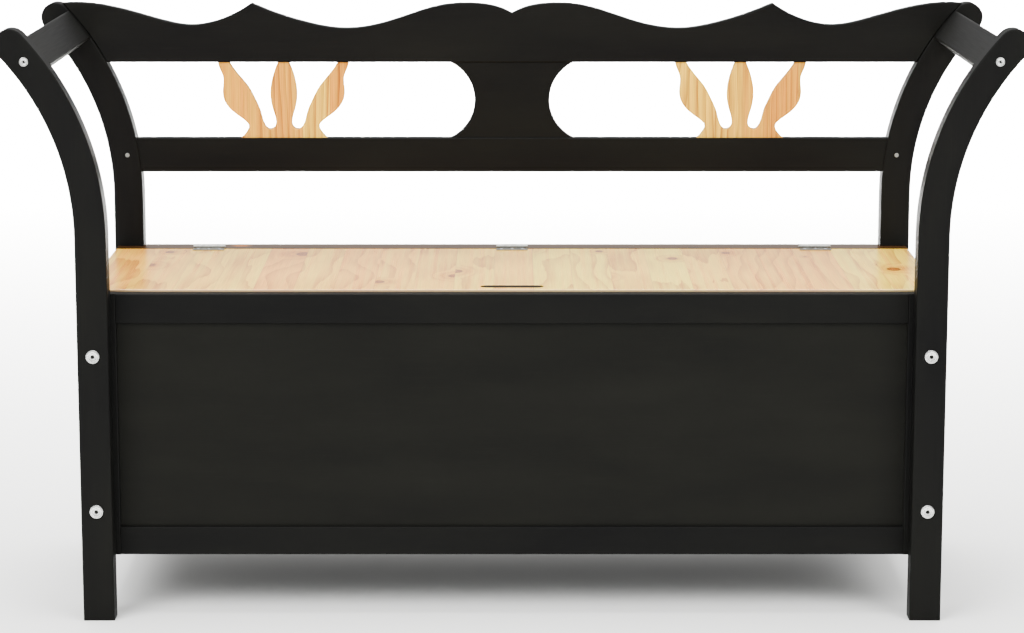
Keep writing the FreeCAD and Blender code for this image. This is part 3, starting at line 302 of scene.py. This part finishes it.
def varnished_fir(name, grain, stave, seed, tones, knot_share=0.3, contrast=0.8, gloss=0.3, slot=None):
    """Clear-varnished fir. grain is its axis, stave the width of one glued stave, and tones its pale
    wood, its warm wood and its ring lines. slot is the middle and the half size of a routed slot,
    whose upright walls get painted shade."""
    material, tree, shader = new_material(name)
    pale, warm, line = map(colour, tones)
    vector, parts = grain_space(tree, grain)
    inside, lots, seam, own = staves(tree, vector, parts[0], stave, seed)
    knot, near, ratio = knots(tree, own, KNOT_SPACING, knot_share)
    ring = rings(tree, own, parts, stave, inside, lots)
    bent = add(tree, "Math", {
        0: add(tree, "Math", {0: near, 1: 1.7, 2: ring}, operation="MULTIPLY_ADD").outputs[0],
    }, operation="FRACT").outputs[0]
    late = add(tree, "Math", {0: bent, 1: 2.4}, operation="POWER").outputs[0]
    fibre = stretched_noise(tree, own, FIBRE, FIBRE_LENGTH, 3.0)
    cloud = stretched_noise(tree, own, 7 * MM, 420 * MM, 2.0, seed)

    blush = add(tree, "Math", {
        0: add(tree, "MapRange", {
            "Value": cloud,
            "From Min": 0.3,
            "From Max": 0.7,
            "To Min": -0.5,
            "To Max": 0.5,
        }).outputs[0],
        1: 0.5,
        2: lots[2],
    }, operation="MULTIPLY_ADD").outputs[0]
    tone = add(tree, "Mix", {0: blush, 6: pale, 7: warm}, data_type="RGBA").outputs[2]
    strength = add(tree, "Math", {
        0: late,
        1: add(tree, "MapRange", {
            "Value": cloud,
            "From Min": 0.3,
            "From Max": 0.7,
            "To Min": 0.35 * contrast,
            "To Max": contrast,
        }).outputs[0],
    }, operation="MULTIPLY").outputs[0]
    tone = add(tree, "Mix", {0: strength, 6: tone, 7: line}, data_type="RGBA").outputs[2]
    streak = add(tree, "MapRange", {
        "Value": fibre,
        "From Min": 0.3,
        "From Max": 0.7,
        "To Min": 1.0 - 0.3 * contrast,
        "To Max": 1.0 + 0.1 * contrast,
    }).outputs[0]
    grey = add(tree, "CombineColor", {0: streak, 1: streak, 2: streak}).outputs[0]
    tone = add(tree, "Mix", {
        0: 1.0,
        6: tone,
        7: grey,
    }, data_type="RGBA", blend_type="MULTIPLY").outputs[2]
    halo = add(tree, "Mix", {
        0: add(tree, "Math", {0: near, 1: 0.5}, operation="MULTIPLY").outputs[0],
        6: tone,
        7: colour("#B46818"),
    }, data_type="RGBA").outputs[2]
    rim = add(tree, "MapRange", {"Value": ratio, "From Min": 0.45, "From Max": 0.95}).outputs[0]
    knot_tone = add(tree, "Mix", {
        0: rim,
        6: colour("#8A4A10"),
        7: colour("#4A2406"),
    }, data_type="RGBA").outputs[2]
    tone = add(tree, "Mix", {
        0: add(tree, "Math", {0: knot, 1: 0.92}, operation="MULTIPLY").outputs[0],
        6: halo,
        7: knot_tone,
    }, data_type="RGBA").outputs[2]
    tone = add(tree, "Mix", {
        0: add(tree, "MapRange", {
            "Value": seam,
            "From Max": SEAM,
            "To Min": 0.4,
            "To Max": 0.0,
        }).outputs[0],
        6: tone,
        7: colour("#7A5230"),
    }, data_type="RGBA").outputs[2]
    sawn = sawn_ends(tree, grain)
    tone = add(tree, "Mix", {
        0: add(tree, "Math", {0: sawn, 1: 0.8}, operation="MULTIPLY").outputs[0],
        6: tone,
        7: colour("#7F705C"),
    }, data_type="RGBA").outputs[2]
    if slot:
        # painted shade: the slot's upright walls are darkened to a near-black brown, as little light
        # reaches into so narrow a slot
        painted_slot_shade = add(tree, "Math", {
            0: slot_wall_shade(tree, *slot),
            1: 0.95,
        }, operation="MULTIPLY").outputs[0]
        tone = add(tree, "Mix", {0: painted_slot_shade, 6: tone, 7: colour("#1C1206")}, data_type="RGBA").outputs[2]
    tree.links.new(tone, shader.inputs["Base Color"])

    rough = add(tree, "Math", {0: cloud, 1: 0.12, 2: 0.2}, operation="MULTIPLY_ADD").outputs[0]
    rough = add(tree, "Math", {0: sawn, 1: 0.25, 2: rough}, operation="MULTIPLY_ADD").outputs[0]
    tree.links.new(rough, shader.inputs["Roughness"])
    shader.inputs["IOR"].default_value = 1.5
    shader.inputs["Specular IOR Level"].default_value = gloss
    relief = add(tree, "Math", {
        0: fibre,
        1: 0.6,
        2: add(tree, "Math", {0: late, 1: 0.35}, operation="MULTIPLY").outputs[0],
    }, operation="MULTIPLY_ADD").outputs[0]
    relief = add(tree, "Math", {
        0: relief,
        1: add(tree, "MapRange", {
            "Value": seam,
            "From Max": SEAM,
            "To Min": -0.8,
            "To Max": 0.0,
        }).outputs[0],
    }, operation="ADD").outputs[0]
    bump = add(tree, "Bump", {"Height": relief, "Strength": 0.35, "Distance": 0.12 * MM})
    tree.links.new(bump.outputs[0], shader.inputs["Normal"])
    return material


print("glue line", SEAM / MM, "mm")

# %% [markdown]
# ## Four boards of fir
# The lid and its battens share their tones. The hinge rail's tones are darkened with painted shade
# for the shade it lies in under the backrest. The tulips are the yellowest and have the strongest
# rings. The walls of the finger slot are painted a dark brown as the shade inside it, which is what
# makes so small a slot show from across a room.

# %% The bare pieces
LID_TONES = ("#F0CE40", "#EAA038", "#A0581C")
# the hinge rail is the lid's fir with its tones darkened as painted shade, for the shade it lies in
# under the backrest
RAIL_SHADED_TONES = ("#412C12", "#38210D", "#231306")
TULIP_TONES = ("#E9B932", "#D68C22", "#8E4C10")
SLOT_SIZE = Vector((79 * MM, 20 * MM, 0))
SLOT_SETBACK = 13 * MM
# how far past the slot's walls its painted shade reaches
SLOT_SHADE_MARGIN = 0.5 * MM

lid_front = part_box("seat_lid")[0].y
slot_middle = (0, lid_front + SLOT_SETBACK + SLOT_SIZE.y / 2, 0)
slot_half = tuple(side / 2 + SLOT_SHADE_MARGIN for side in SLOT_SIZE)
lid_fir = varnished_fir("varnished_fir_lid", "y", 50 * MM, 31.46, LID_TONES, 0.24, gloss=0.55,
                        slot=(slot_middle, slot_half))
batten_fir = varnished_fir("varnished_fir_battens", "y", 70 * MM, 4.4, LID_TONES, 0.2)
rail_fir = varnished_fir("varnished_fir_rail_painted_shade", "x", 60 * MM, 8.2, RAIL_SHADED_TONES, 0.1, gloss=0.04)
tulip_fir = varnished_fir("varnished_fir_tulips", "z", 37 * MM, 5.62, TULIP_TONES, 0.05,
                          contrast=1.0, gloss=0.15)
for fir in (lid_fir, batten_fir, rail_fir, tulip_fir):
    print(fir.name, "has", len(fir.node_tree.nodes), "nodes")

# %% [markdown]
# ## Black satin paint
# Everything else in the woodwork is painted black. The paint is thin, so the rings and fibres still
# stand out as a faint relief that runs with each board's own grain. The eye sees it as soft streaks
# in the sheen, and hardly as a change of colour. Sprayed paint also dries with a fine dimpled skin,
# which painters call orange peel. One function makes the paint for any grain axis. The panels are
# thin boards that drink more paint, and come out a shade lighter.

# %% Black satin paint
BOARD = 90 * MM          # the width of one sawn board
PEEL = 2.2 * MM


def painted_fir(name, grain, seed, tones=("#080808", "#0E0E0C", "#121210")):
    """Black satin paint sprayed on fir whose grain runs along one axis. tones are the paint at its
    thickest and thinnest, and where it is worn on the fibres."""
    material, tree, shader = new_material(name)
    vector, parts = grain_space(tree, grain)
    inside, lots, _, _ = staves(tree, vector, parts[0], BOARD, seed)
    ring = rings(tree, vector, parts, BOARD, inside, lots)
    fibre = stretched_noise(tree, vector, FIBRE, FIBRE_LENGTH, 3.0)
    cloud = stretched_noise(tree, vector, 60 * MM, 260 * MM, 3.0, seed)
    peel = add(tree, "TexNoise", {"Vector": vector, "Scale": 1 / PEEL, "Detail": 2.0}).outputs["Fac"]

    thick, thin, worn = map(colour, tones)
    tone = add(tree, "Mix", {
        0: add(tree, "MapRange", {"Value": cloud, "From Min": 0.3, "From Max": 0.7}).outputs[0],
        6: thick,
        7: thin,
    }, data_type="RGBA").outputs[2]
    tone = add(tree, "Mix", {
        0: add(tree, "MapRange", {
            "Value": fibre,
            "From Min": 0.55,
            "From Max": 0.75,
            "To Max": 0.5,
        }).outputs[0],
        6: tone,
        7: worn,
    }, data_type="RGBA").outputs[2]
    tree.links.new(tone, shader.inputs["Base Color"])
    rough = add(tree, "Math", {0: fibre, 1: 0.14, 2: 0.42}, operation="MULTIPLY_ADD").outputs[0]
    tree.links.new(
        add(tree, "Math", {0: cloud, 1: 0.12, 2: rough}, operation="MULTIPLY_ADD").outputs[0],
        shader.inputs["Roughness"])
    shader.inputs["IOR"].default_value = 1.5
    shader.inputs["Specular IOR Level"].default_value = 0.05
    relief = add(tree, "Math", {
        0: add(tree, "Math", {0: ring, 1: 2.5}, operation="POWER").outputs[0],
        1: 0.45,
        2: fibre,
    }, operation="MULTIPLY_ADD").outputs[0]
    relief = add(tree, "Math", {0: peel, 1: 0.25, 2: relief}, operation="MULTIPLY_ADD").outputs[0]
    bump = add(tree, "Bump", {"Height": relief, "Strength": 0.3, "Distance": 0.1 * MM})
    tree.links.new(bump.outputs[0], shader.inputs["Normal"])
    return material


FIRST_SEED = 1.3
black = {grain: painted_fir(f"black_satin_paint_{grain}", grain, FIRST_SEED + order)
         for order, grain in enumerate(TURNS)}
panel_black = painted_fir("black_satin_paint_panel", "x", 4.9, ("#0C0C0A", "#11110E", "#151512"))
print("painted finishes:", sorted(black), "and the panels'")

# %% [markdown]
# ## Zinc plate and beech
# The bolts and screws are steel under bright zinc, a bluish grey that is a little cloudy. The hinge
# leaves are rolled from thin steel strip and keep the fine lines of rolling along the pin. The heads
# that show most were turned on a lathe; their dark rings are partly its marks and partly painted
# reflection, and their sockets are painted near black as the shade deep in a small recess.
# The dowels are beech, close-grained and pinkish, with short dark flecks.

# %% Plated steel and beech
def plated_steel(name, tint, darker, lines):
    """Plated steel. lines is how far its rolling marks are drawn out along X, in metres."""
    material, tree, shader = new_material(name)
    place = add(tree, "TexCoord").outputs["Object"]
    turned = add(tree, "Mapping", {"Vector": place, "Rotation": TURNS["x"]})
    mark = stretched_noise(tree, turned.outputs[0], 0.35 * MM, lines, 3.0)
    bloom = add(tree, "TexNoise", {"Vector": place, "Scale": 1 / (4 * MM), "Detail": 3.0}).outputs["Fac"]
    tone = add(tree, "Mix", {
        0: add(tree, "MapRange", {"Value": bloom, "From Min": 0.3, "From Max": 0.7}).outputs[0],
        6: colour(tint),
        7: colour(darker),
    }, data_type="RGBA").outputs[2]
    tree.links.new(tone, shader.inputs["Base Color"])
    shader.inputs["Metallic"].default_value = 1.0
    rough = add(tree, "Math", {0: bloom, 1: 0.16, 2: 0.2}, operation="MULTIPLY_ADD").outputs[0]
    tree.links.new(
        add(tree, "Math", {0: mark, 1: 0.08, 2: rough}, operation="MULTIPLY_ADD").outputs[0],
        shader.inputs["Roughness"])
    bump = add(tree, "Bump", {"Height": mark, "Strength": 0.15, "Distance": 0.03 * MM})
    tree.links.new(bump.outputs[0], shader.inputs["Normal"])
    return material


def beech(name):
    """Plain beech with short dark flecks along X."""
    material, tree, shader = new_material(name)
    vector, _ = grain_space(tree, "x")
    fleck = stretched_noise(tree, vector, 0.6 * MM, 4 * MM, 2.0)
    tone = add(tree, "Mix", {
        0: add(tree, "MapRange", {"Value": fleck, "From Min": 0.55, "From Max": 0.7}).outputs[0],
        6: colour("#D8AE82"),
        7: colour("#A87850"),
    }, data_type="RGBA").outputs[2]
    tree.links.new(tone, shader.inputs["Base Color"])
    tree.links.new(
        add(tree, "MapRange", {"Value": fleck, "To Min": 0.5, "To Max": 0.7}).outputs[0],
        shader.inputs["Roughness"])
    bump = add(tree, "Bump", {"Height": fleck, "Strength": 0.3, "Distance": 0.05 * MM})
    tree.links.new(bump.outputs[0], shader.inputs["Normal"])
    return material


zinc_hinge = plated_steel("rolled_zinc_hinges", "#9A9A94", "#7C7C78", 12 * MM)
zinc_bolt = plated_steel("bright_zinc_bolts", "#C4C8CC", "#9FA3A8", 1.5 * MM)
# painted shade: the sockets' colour is near black, for the shade deep in a small recess
painted_socket_shade = plated_steel("socket_painted_shade", "#2A2A28", "#161614", 1.5 * MM)
dowel_beech = beech("plain_beech_dowels")
print("metals:", [metal.name for metal in (zinc_hinge, zinc_bolt, painted_socket_shade)])

# %% Turned heads
LATHE_RING = 2.3 * MM    # real turning marks are finer; this is as fine as shows on a small head


def turned_zinc(name):
    """Bright zinc on a head that was turned on a lathe. The layer "around" holds each point's place
    from the bolt's own axis, so the rings are centred on every head. The dark rings are partly the
    lathe's marks and partly painted reflection of darker surroundings."""
    material, tree, shader = new_material(name)
    around = add(tree, "UVMap", uv_map="around").outputs[0]
    radius = add(tree, "VectorMath", {0: around}, operation="LENGTH").outputs["Value"]
    stain = add(tree, "TexNoise", {
        "Vector": around,
        "Scale": 1 / (2.4 * MM),
        "Detail": 2.0,
    }).outputs["Fac"]
    shake = add(tree, "Math", {0: stain, 1: 3.0}, operation="MULTIPLY").outputs[0]
    phase = add(tree, "Math", {
        0: radius,
        1: math.tau / LATHE_RING,
        2: shake,
    }, operation="MULTIPLY_ADD").outputs[0]
    ring = add(tree, "MapRange", {
        "Value": add(tree, "Math", {0: phase}, operation="SINE").outputs[0],
        "From Min": 0.1,
        "From Max": 0.9,
    }).outputs[0]
    # the dark rings in the colour are partly the lathe's marks and partly painted reflection: a bright
    # zinc head mirroring darker surroundings
    darker = add(tree, "Math", {
        0: ring,
        1: add(tree, "MapRange", {
            "Value": stain,
            "From Min": 0.4,
            "From Max": 0.6,
            "To Min": 0.25,
        }).outputs[0],
    }, operation="MULTIPLY").outputs[0]
    tone = add(tree, "Mix", {
        0: darker,
        6: colour("#E6E7E4"),
        7: colour("#55584F"),
    }, data_type="RGBA").outputs[2]
    tree.links.new(tone, shader.inputs["Base Color"])
    shader.inputs["Metallic"].default_value = 1.0
    tree.links.new(
        add(tree, "MapRange", {
            "Value": stain,
            "From Min": 0.3,
            "From Max": 0.7,
            "To Min": 0.22,
            "To Max": 0.42,
        }).outputs[0],
        shader.inputs["Roughness"])
    bump = add(tree, "Bump", {"Height": ring, "Strength": 0.4, "Distance": 0.08 * MM})
    tree.links.new(bump.outputs[0], shader.inputs["Normal"])
    return material


turned_bolt = turned_zinc("turned_zinc_heads_painted_reflection")
print("rings of the lathe every", LATHE_RING / MM, "mm")

# %% [markdown]
# ## Giving each piece its finish
# A board's grain runs along its length: rails along X or Y, legs and stiles along Z. So the paint
# can be chosen by measuring each piece, and names are needed only for the panels and for the pieces
# that aren't painted.

# %% Finishes for the frame's pieces
BARE = {"seat_lid": lid_fir, "hinge_rail": rail_fir, "lid_batten_left": batten_fir,
        "lid_batten_right": batten_fir, "tulip_left": tulip_fir, "tulip_right": tulip_fir}


def longest_axis(name):
    """The axis along which a piece is longest: x, y or z."""
    low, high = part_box(name)
    spans = high - low
    return "xyz"[max(range(3), key=lambda axis: spans[axis])]


def finish_for(name):
    """The material that a piece of the frame wears."""
    if name in BARE:
        return BARE[name]
    if "dowels" in name:
        return dowel_beech
    if name.startswith("hinge_leaves") or name in ("hinge_pins", "lower_rail_screws"):
        return zinc_hinge
    if any(word in name for word in ("screws", "bolts", "nuts")):
        return zinc_bolt
    if "panel" in name:
        return panel_black
    return black[longest_axis(name)]


for name, piece in nodes.items():
    for slot in piece.material_slots:
        slot.material = finish_for(name)
print("pieces finished:", len(nodes))

# %% [markdown]
# ## Turned bolt heads
# The legs are held by furniture bolts: a broad, thin, slightly dished head with a rounded rim and a
# six-sided socket for a key. At this size the eye only catches a bright ring, a shallow hollow and a
# dark centre, but a flat disc would miss all three. The head is turned, so half of its outline is
# drawn and spun round. The socket starts as a circle with many points, is pulled in to six sides,
# and is closed with a cone, as a drill leaves it.

# %% A turned head on its shank
TURNS_PER_BOLT = 36
MOUTH = 1.25             # the round mouth of a socket, in key radii
MOUTH_LEVEL = 0.86       # its height up the head


def turned_shape(radius, height, key, shank_radius, shank_length):
    """A head and its shank, spun about Z from half an outline, with an open mouth for the socket."""
    shape = bmesh.new()
    # each point is a distance from the axis and a height as a share of the head's
    outline = [(key * MOUTH, MOUTH_LEVEL), (radius * 0.42, 0.72), (radius * 0.62, 0.84),
               (radius * 0.8, 1.0), (radius * 0.93, 0.9), (radius, 0.5), (radius * 0.97, 0.0),
               (shank_radius, 0.0), (shank_radius, -shank_length / height)]
    points = [shape.verts.new((across, 0, up * height)) for across, up in outline]
    chain = [shape.edges.new(pair) for pair in zip(points, points[1:])]
    bmesh.ops.spin(shape, geom=points + chain, axis=(0, 0, 1), cent=(0, 0, 0), dvec=(0, 0, 0),
                   angle=math.tau, steps=TURNS_PER_BOLT, use_merge=True, use_duplicate=False)
    return shape


print("a head has", TURNS_PER_BOLT, "sides")

# %% The six-sided socket
KEY_SIDES = 6
# how far each ring of the socket lies below its mouth, in head heights, and its share of the width
SOCKET_RINGS = ((0.12, 1.0), (1.6, 1.0), (2.0, 0.0))
WELD = 0.01 * MM


def flat_side(around, key):
    """The distance from the axis to a hexagon's side, in a direction round the axis."""
    from_middle = around % (math.tau / KEY_SIDES) - math.pi / KEY_SIDES
    return key * math.cos(math.pi / KEY_SIDES) / math.cos(from_middle)


def cut_socket(shape, height, key):
    """Grows the open mouth down into a six-sided socket that ends in a cone."""
    rim = [edge for edge in shape.edges if edge.is_boundary and edge.verts[0].co.z > 0]
    for drop, share in SOCKET_RINGS:
        grown = bmesh.ops.extrude_edge_only(shape, edges=rim)["geom"]
        rim = [part for part in grown if isinstance(part, bmesh.types.BMEdge)]
        for vert in {vert for edge in rim for vert in edge.verts}:
            around = math.atan2(vert.co.y, vert.co.x)
            reach = flat_side(around, key) * share
            vert.co = (math.cos(around) * reach, math.sin(around) * reach, height * (MOUTH_LEVEL - drop))
    bmesh.ops.remove_doubles(shape, verts=shape.verts, dist=WELD)


print("socket depth", SOCKET_RINGS[-1][0], "head heights")

# %% One bolt
def bolt(target, seat, facing, radius, height, key, shank_radius, shank_length):
    """Adds a bolt to a bmesh. seat is the middle of the head's underside, facing the sign of its
    outward direction along Y, and key the radius of its socket's corners."""
    shape = turned_shape(radius, height, key, shank_radius, shank_length)
    cut_socket(shape, height, key)
    bmesh.ops.contextual_create(shape, geom=[edge for edge in shape.edges if edge.is_boundary])
    bmesh.ops.recalc_face_normals(shape, faces=shape.faces)

    from_axis = shape.loops.layers.uv.new("around")
    for face in shape.faces:
        middle = face.calc_center_median()
        in_socket = middle.xy.length < key and middle.z > -shank_length / 2
        face.material_index = int(in_socket)
        for loop in face.loops:
            loop[from_axis].uv = loop.vert.co.xy

    tilt = Matrix.Rotation(math.radians(-90 * facing), 4, "X")
    bmesh.ops.transform(shape, matrix=Matrix.Translation(seat) @ tilt, verts=shape.verts)
    part = bpy.data.meshes.new("one_bolt")
    shape.to_mesh(part)
    shape.free()
    target.from_mesh(part)
    bpy.data.meshes.remove(part)


print("material 0 is the head and shank, 1 the socket")

# %% From a bmesh to a piece of the bench
SHARP = math.radians(38)


def finished(name, shape, materials, body):
    """Turns a bmesh into a smooth-shaded piece that rides on a body and wears its finishes."""
    for face in shape.faces:
        face.smooth = True
    for edge in shape.edges:
        edge.smooth = len(edge.link_faces) != 2 or edge.calc_face_angle() < SHARP
    data = bpy.data.meshes.new(name)
    shape.to_mesh(data)
    shape.free()
    piece = bpy.data.objects.new(name, data)
    for material in materials:
        data.materials.append(material)
    bpy.context.scene.collection.objects.link(piece)
    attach(piece, body)
    print(name, "has", len(data.polygons), "faces")
    return piece


# %% The bolts of the legs and the screws of the armrests
# a head's radius and height, its socket's radius, and its shank's radius
LEG_BOLT = (8.5 * MM, 2.4 * MM, 2.6 * MM, 3 * MM)
ARM_SCREW = (5.6 * MM, 1.8 * MM, 1.9 * MM, 2.5 * MM)
ARM_SCREW_LENGTH = 70 * MM
HEADS = {"front_leg_bolts": LEG_BOLT, "rear_leg_bolts": LEG_BOLT, "armrest_screws": ARM_SCREW}
MICRON_DIGITS = 6        # two heads at one height differ by less than a micron


def heads_and_shank(name, height):
    """Each end of the bench where a group has heads, as its facing and its outer face, and the
    length of the shanks."""
    front, rear = (corner.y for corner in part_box(name))
    if name == "armrest_screws":
        return [(-1, front), (1, rear)], ARM_SCREW_LENGTH
    end = (-1, front) if name.startswith("front") else (1, rear)
    return [end], rear - front - height


for name, (radius, height, key, shank_radius) in HEADS.items():
    corner_low, corner_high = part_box(name)
    heads, shank = heads_and_shank(name, height)
    levels = sorted({round(corner_low.z + radius, MICRON_DIGITS),
                     round(corner_high.z - radius, MICRON_DIGITS)})
    shape = bmesh.new()
    for facing, face in heads:
        for x in (corner_low.x + radius, corner_high.x - radius):
            for z in levels:
                seat = Vector((x, face - facing * height, z))
                bolt(shape, seat, facing, radius, height, key, shank_radius, shank)
    bolts = finished(f"{name}_turned", shape, (turned_bolt, painted_socket_shade), "frame")
    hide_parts(name)

# %% [markdown]
# ## The studio
# The bench stands on a pale floor under a plain white sky. One large soft light is above and to the
# left, a weaker one is on the right, and one hangs overhead. A fourth hangs high up far behind and
# shines straight down, which turns the ground behind the bench white. A black satin surface shows
# mostly what it mirrors, so the lights are large: small ones would leave hard spots in the paint.

# %% Floor
FLOOR_REACH = 20.0
floor_mesh = bmesh.new()
bmesh.ops.create_grid(floor_mesh, x_segments=1, y_segments=1, size=FLOOR_REACH)
floor_data = bpy.data.meshes.new("floor")
floor_mesh.to_mesh(floor_data)
floor_mesh.free()
floor = bpy.data.objects.new("floor", floor_data)
bpy.context.scene.collection.objects.link(floor)
floor_paint, _, floor_shader = new_material("matt_white_floor")
floor_shader.inputs["Base Color"].default_value = colour("#F2F2F0")
floor_shader.inputs["Roughness"].default_value = 0.9
floor_shader.inputs["Specular IOR Level"].default_value = 0.1
floor_data.materials.append(floor_paint)
print("floor", 2 * FLOOR_REACH, "m wide")

# %% Sky and lights
SKY_STRENGTH = 1.1
sky = bpy.data.worlds.new("white_studio")
sky.use_nodes = True
sky.node_tree.nodes["Background"].inputs["Color"].default_value = colour("#FFFFFF")
sky.node_tree.nodes["Background"].inputs["Strength"].default_value = SKY_STRENGTH
bpy.context.scene.world = sky


def soft_light(name, place, target, width, power):
    """A large square light that faces a point."""
    lamp = bpy.data.lights.new(name, "AREA")
    lamp.size = width
    lamp.energy = power
    light = bpy.data.objects.new(name, lamp)
    light.location = place
    light.rotation_euler = (Vector(target) - Vector(place)).to_track_quat("-Z", "Y").to_euler()
    bpy.context.scene.collection.objects.link(light)
    return light


middle = (0, 0, (cad_box[1].z - cad_box[0].z) / 2)
soft_light("key_light", (-2.2, -3.0, 3.4), middle, 2.6, 330)
soft_light("fill_light", (2.6, -3.2, 2.8), middle, 2.6, 200)
soft_light("top_light", (0.0, 0.6, 3.6), middle, 3.0, 330)
backdrop = soft_light("backdrop_light", (0.0, 9.0, 7.0), (0.0, 9.5, 0.0), 12.0, 16000)
backdrop.data.spread = math.radians(70)
print("lights:", len(bpy.data.lights))

# %% [markdown]
# ## The camera
# The camera stands square to the front, a little over a metre high, and looks down by ten degrees,
# so the lid is seen from above. A camera that looks down draws upright lines together. From four
# metres away, with a long lens, that is less than half the width of a leg at each side.

# %% Camera
CAMERA_DISTANCE = 3.969
CAMERA_HEIGHT = 1.082
LOOK_DOWN = math.radians(10.45)
camera_data = bpy.data.cameras.new("camera")
camera_data.sensor_width = 36.0
camera_data.lens = 109.0
camera = bpy.data.objects.new("camera", camera_data)
camera.location = (0.0, -CAMERA_DISTANCE, CAMERA_HEIGHT)
camera.rotation_euler = (math.radians(90) - LOOK_DOWN, 0, 0)
bpy.context.scene.collection.objects.link(camera)
bpy.context.scene.camera = camera
print("camera", CAMERA_DISTANCE, "m away and", CAMERA_HEIGHT, "m high")
